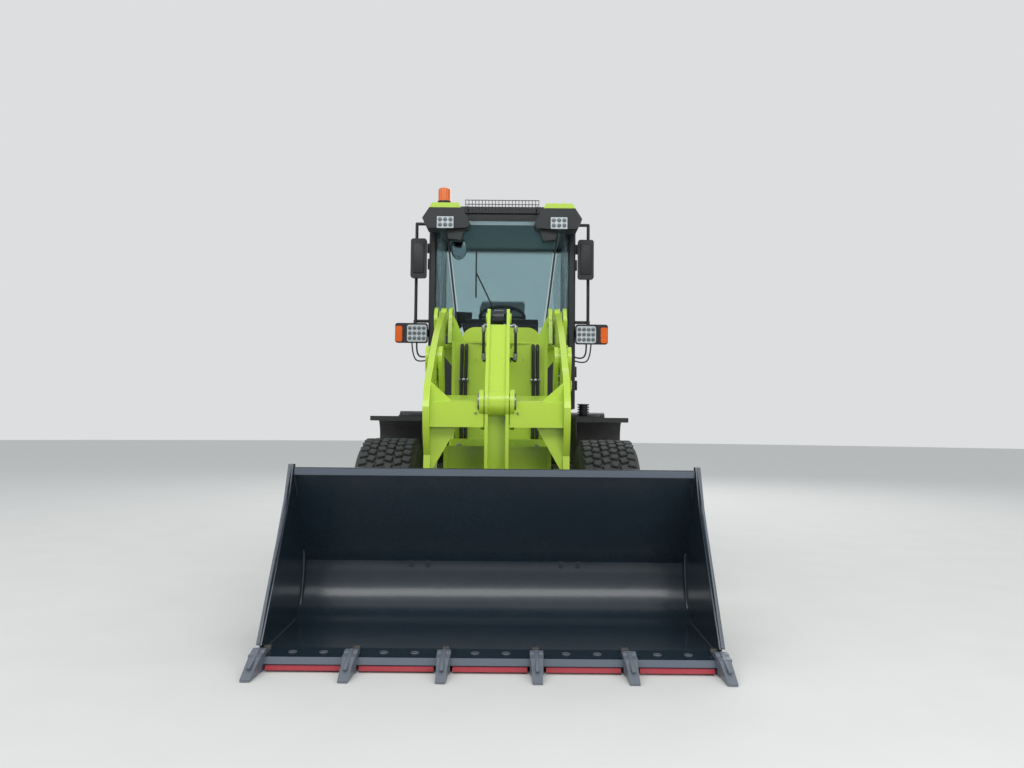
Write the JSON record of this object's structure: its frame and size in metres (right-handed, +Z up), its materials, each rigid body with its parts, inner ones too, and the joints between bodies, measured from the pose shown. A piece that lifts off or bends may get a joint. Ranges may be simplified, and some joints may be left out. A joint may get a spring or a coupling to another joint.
{
  "type": "articulated wheel loader",
  "caption": "Compact articulated wheel loader with enclosed cab, Z-bar boom linkage and a toothed bucket resting on the ground.",
  "frame": {"origin": "on the ground at mid-length, on the machine's centre line", "axes": "+Z up, the bucket looks along -Y, +X is the machine's left side"},
  "size_m": [2.21, 5.87, 3.0603],
  "materials": {
    "lime_paint": "gloss lime-green enamel",
    "black_paint": "satin black enamel",
    "bucket_paint": "gloss slate-grey enamel",
    "axle_iron": "painted casting",
    "tyre": "moulded tread rubber",
    "pin_steel": "ground pin steel",
    "rod_chrome": "hard chrome rod",
    "glass": "tinted safety glass",
    "plastic": "grained moulded plastic",
    "lamp": "clear lamp lens over white reflectors",
    "amber": "moulded amber lens",
    "red_lens": "moulded red lens",
    "red_paint": "weathered red enamel",
    "seat_cloth": "grey seat cloth"
  },
  "bodies": {
    "rear_frame": {"rear_frame": "black_paint", "rear_axle": "axle_iron", "engine": "axle_iron", "counterweight": "black_paint", "bulkhead": "black_paint", "exhaust": "black_paint", "step_tanks": "black_paint", "rear_fenders": "black_paint", "cab_frame": "black_paint", "cab_panels": "lime_paint", "cab_roof": "black_paint", "cab_glass": "glass", "seat": "seat_cloth", "console": "plastic", "lamps": "lamp", "beacon": "amber", "roof_guard": "black_paint", "mirrors": "plastic", "indicators": "amber", "tail_lamps": "red_lens"},
    "hood": {"hood": "lime_paint", "grille": "black_paint"},
    "door_left": {"door_left": "black_paint", "door_glass_left": "glass"},
    "door_right": {"door_right": "black_paint", "door_glass_right": "glass"},
    "steering_wheel": {"steering_wheel": "plastic"},
    "steer_barrel": {"steer_barrel": "black_paint"},
    "steer_rod": {"steer_rod": "rod_chrome"},
    "front_frame": {"front_frame": "lime_paint", "front_axle": "axle_iron", "front_fenders": "black_paint"},
    "boom": {"boom": "lime_paint"},
    "bucket_pins": {"bucket_pins": "pin_steel"},
    "bucket": {"bucket": "bucket_paint", "bucket_teeth": "bucket_paint", "edge_segments": "red_paint"},
    "rocker_pin": {"rocker_pin": "pin_steel"},
    "rocker": {"rocker": "lime_paint"},
    "link_pin": {"link_pin": "pin_steel"},
    "link": {"link": "lime_paint"},
    "tilt_barrel": {"tilt_barrel": "black_paint"},
    "tilt_rod": {"tilt_rod": "rod_chrome"},
    "lift_barrel_left": {"lift_barrel_left": "black_paint"},
    "lift_rod_left": {"lift_rod_left": "rod_chrome"},
    "lift_barrel_right": {"lift_barrel_right": "black_paint"},
    "lift_rod_right": {"lift_rod_right": "rod_chrome"},
    "wheel_front_left": {"rim_front_left": "lime_paint", "tyre_front_left": "tyre"},
    "wheel_front_right": {"rim_front_right": "lime_paint", "tyre_front_right": "tyre"},
    "wheel_rear_left": {"rim_rear_left": "lime_paint", "tyre_rear_left": "tyre"},
    "wheel_rear_right": {"rim_rear_right": "lime_paint", "tyre_rear_right": "tyre"}
  },
  "joints": [
    {"name": "steer", "type": "hinge", "parent": "rear_frame", "child": "front_frame", "pos_m": [0, 0.285, 0.74], "axis": [0, 0, 1], "range_deg": [-35, 35]},
    {"name": "wheel_front_left_spin", "type": "hinge", "parent": "front_frame", "child": "wheel_front_left", "pos_m": [0.735, -0.965, 0.525], "axis": [1, 0, 0], "continuous": true},
    {"name": "wheel_front_right_spin", "type": "hinge", "parent": "front_frame", "child": "wheel_front_right", "pos_m": [-0.735, -0.965, 0.525], "axis": [1, 0, 0], "continuous": true},
    {"name": "wheel_rear_left_spin", "type": "hinge", "parent": "rear_frame", "child": "wheel_rear_left", "pos_m": [0.735, 1.535, 0.525], "axis": [1, 0, 0], "continuous": true},
    {"name": "wheel_rear_right_spin", "type": "hinge", "parent": "rear_frame", "child": "wheel_rear_right", "pos_m": [-0.735, 1.535, 0.525], "axis": [1, 0, 0], "continuous": true},
    {"name": "lift", "type": "hinge", "parent": "front_frame", "child": "boom", "pos_m": [0, -0.515, 1.92], "axis": [-1, 0, 0], "range_deg": [0, 90]},
    {"name": "bucket_level", "type": "hinge", "parent": "boom", "child": "bucket_pins", "pos_m": [0, -1.825, 0.27], "axis": [1, 0, 0], "range_deg": [0, 90]},
    {"name": "tilt", "type": "hinge", "parent": "bucket_pins", "child": "bucket", "pos_m": [0, -1.825, 0.27], "axis": [1, 0, 0], "range_deg": [-40, 48]},
    {"name": "rocker_level", "type": "hinge", "parent": "boom", "child": "rocker_pin", "pos_m": [0, -1.675, 1.28], "axis": [-1, 0, 0], "range_deg": [0, 11.12]},
    {"name": "rocker_swing", "type": "hinge", "parent": "rocker_pin", "child": "rocker", "pos_m": [0, -1.675, 1.28], "axis": [-1, 0, 0], "range_deg": [-6.1, 7.22]},
    {"name": "link_level", "type": "hinge", "parent": "rocker", "child": "link_pin", "pos_m": [0, -1.645, 0.39], "axis": [-1, 0, 0], "range_deg": [-81.14, 0]},
    {"name": "link_swing", "type": "hinge", "parent": "link_pin", "child": "link", "pos_m": [0, -1.645, 0.39], "axis": [-1, 0, 0], "range_deg": [-36.84, 30.78]},
    {"name": "tilt_cylinder_swing", "type": "hinge", "parent": "front_frame", "child": "tilt_barrel", "pos_m": [0, -0.295, 1.62], "axis": [-1, 0, 0], "range_deg": [0, 57.02]},
    {"name": "tilt_cylinder_stroke", "type": "slide", "parent": "tilt_barrel", "child": "tilt_rod", "axis": [0, -0.9779, 0.2089], "range_m": [-0.0425, 0.0361]},
    {"name": "lift_cylinder_swing_left", "type": "hinge", "parent": "front_frame", "child": "lift_barrel_left", "pos_m": [0.4215, -0.265, 0.9], "axis": [-1, 0, 0], "range_deg": [0, 36.49]},
    {"name": "lift_cylinder_stroke_left", "type": "slide", "parent": "lift_barrel_left", "child": "lift_rod_left", "axis": [0, -0.87, 0.493], "range_m": [0, 0.8043]},
    {"name": "lift_cylinder_swing_right", "type": "hinge", "parent": "front_frame", "child": "lift_barrel_right", "pos_m": [-0.4215, -0.265, 0.9], "axis": [-1, 0, 0], "range_deg": [0, 36.49]},
    {"name": "lift_cylinder_stroke_right", "type": "slide", "parent": "lift_barrel_right", "child": "lift_rod_right", "axis": [0, -0.87, 0.493], "range_m": [0, 0.8043]},
    {"name": "steer_cylinder_swing", "type": "hinge", "parent": "rear_frame", "child": "steer_barrel", "pos_m": [-0.25, 0.835, 0.74], "axis": [0, 0, 1], "range_deg": [-14.96, 14.96]},
    {"name": "steer_cylinder_stroke", "type": "slide", "parent": "steer_barrel", "child": "steer_rod", "axis": [-0.0326, -0.9995, 0], "range_m": [-0.1714, 0.1714]},
    {"name": "door_left_swing", "type": "hinge", "parent": "rear_frame", "child": "door_left", "pos_m": [0.623, 0.163, 2], "axis": [0, 0, -1], "range_deg": [0, 85]},
    {"name": "door_right_swing", "type": "hinge", "parent": "rear_frame", "child": "door_right", "pos_m": [-0.623, 0.163, 2], "axis": [0, 0, 1], "range_deg": [0, 85]},
    {"name": "hood_lift", "type": "hinge", "parent": "rear_frame", "child": "hood", "pos_m": [0, 1.275, 1.9], "axis": [1, 0, 0], "range_deg": [0, 50]},
    {"name": "steering_wheel_turn", "type": "hinge", "parent": "rear_frame", "child": "steering_wheel", "pos_m": [0, 0.325, 2.04], "axis": [0, 0.3396, 0.9406], "continuous": true}
  ],
  "couplings": [
    {"joint": "bucket_level", "follows": "lift", "ratio": 1},
    {"joint": "rocker_level", "follows": "lift", "ratio": 0.118},
    {"joint": "rocker_swing", "follows": "tilt", "ratio": 0.14},
    {"joint": "link_level", "follows": "lift", "ratio": -0.896},
    {"joint": "link_swing", "follows": "tilt", "ratio": -0.757},
    {"joint": "tilt_cylinder_swing", "follows": "lift", "ratio": 0.628},
    {"joint": "tilt_cylinder_stroke", "follows": "tilt", "m_per_rad": -0.046},
    {"joint": "lift_cylinder_swing_left", "follows": "lift", "ratio": 0.3999},
    {"joint": "lift_cylinder_stroke_left", "follows": "lift", "m_per_rad": 0.50952},
    {"joint": "lift_cylinder_swing_right", "follows": "lift", "ratio": 0.3999},
    {"joint": "lift_cylinder_stroke_right", "follows": "lift", "m_per_rad": 0.50952},
    {"joint": "steer_cylinder_swing", "follows": "steer", "ratio": 0.413},
    {"joint": "steer_cylinder_stroke", "follows": "steer", "m_per_rad": 0.274}
  ]
}
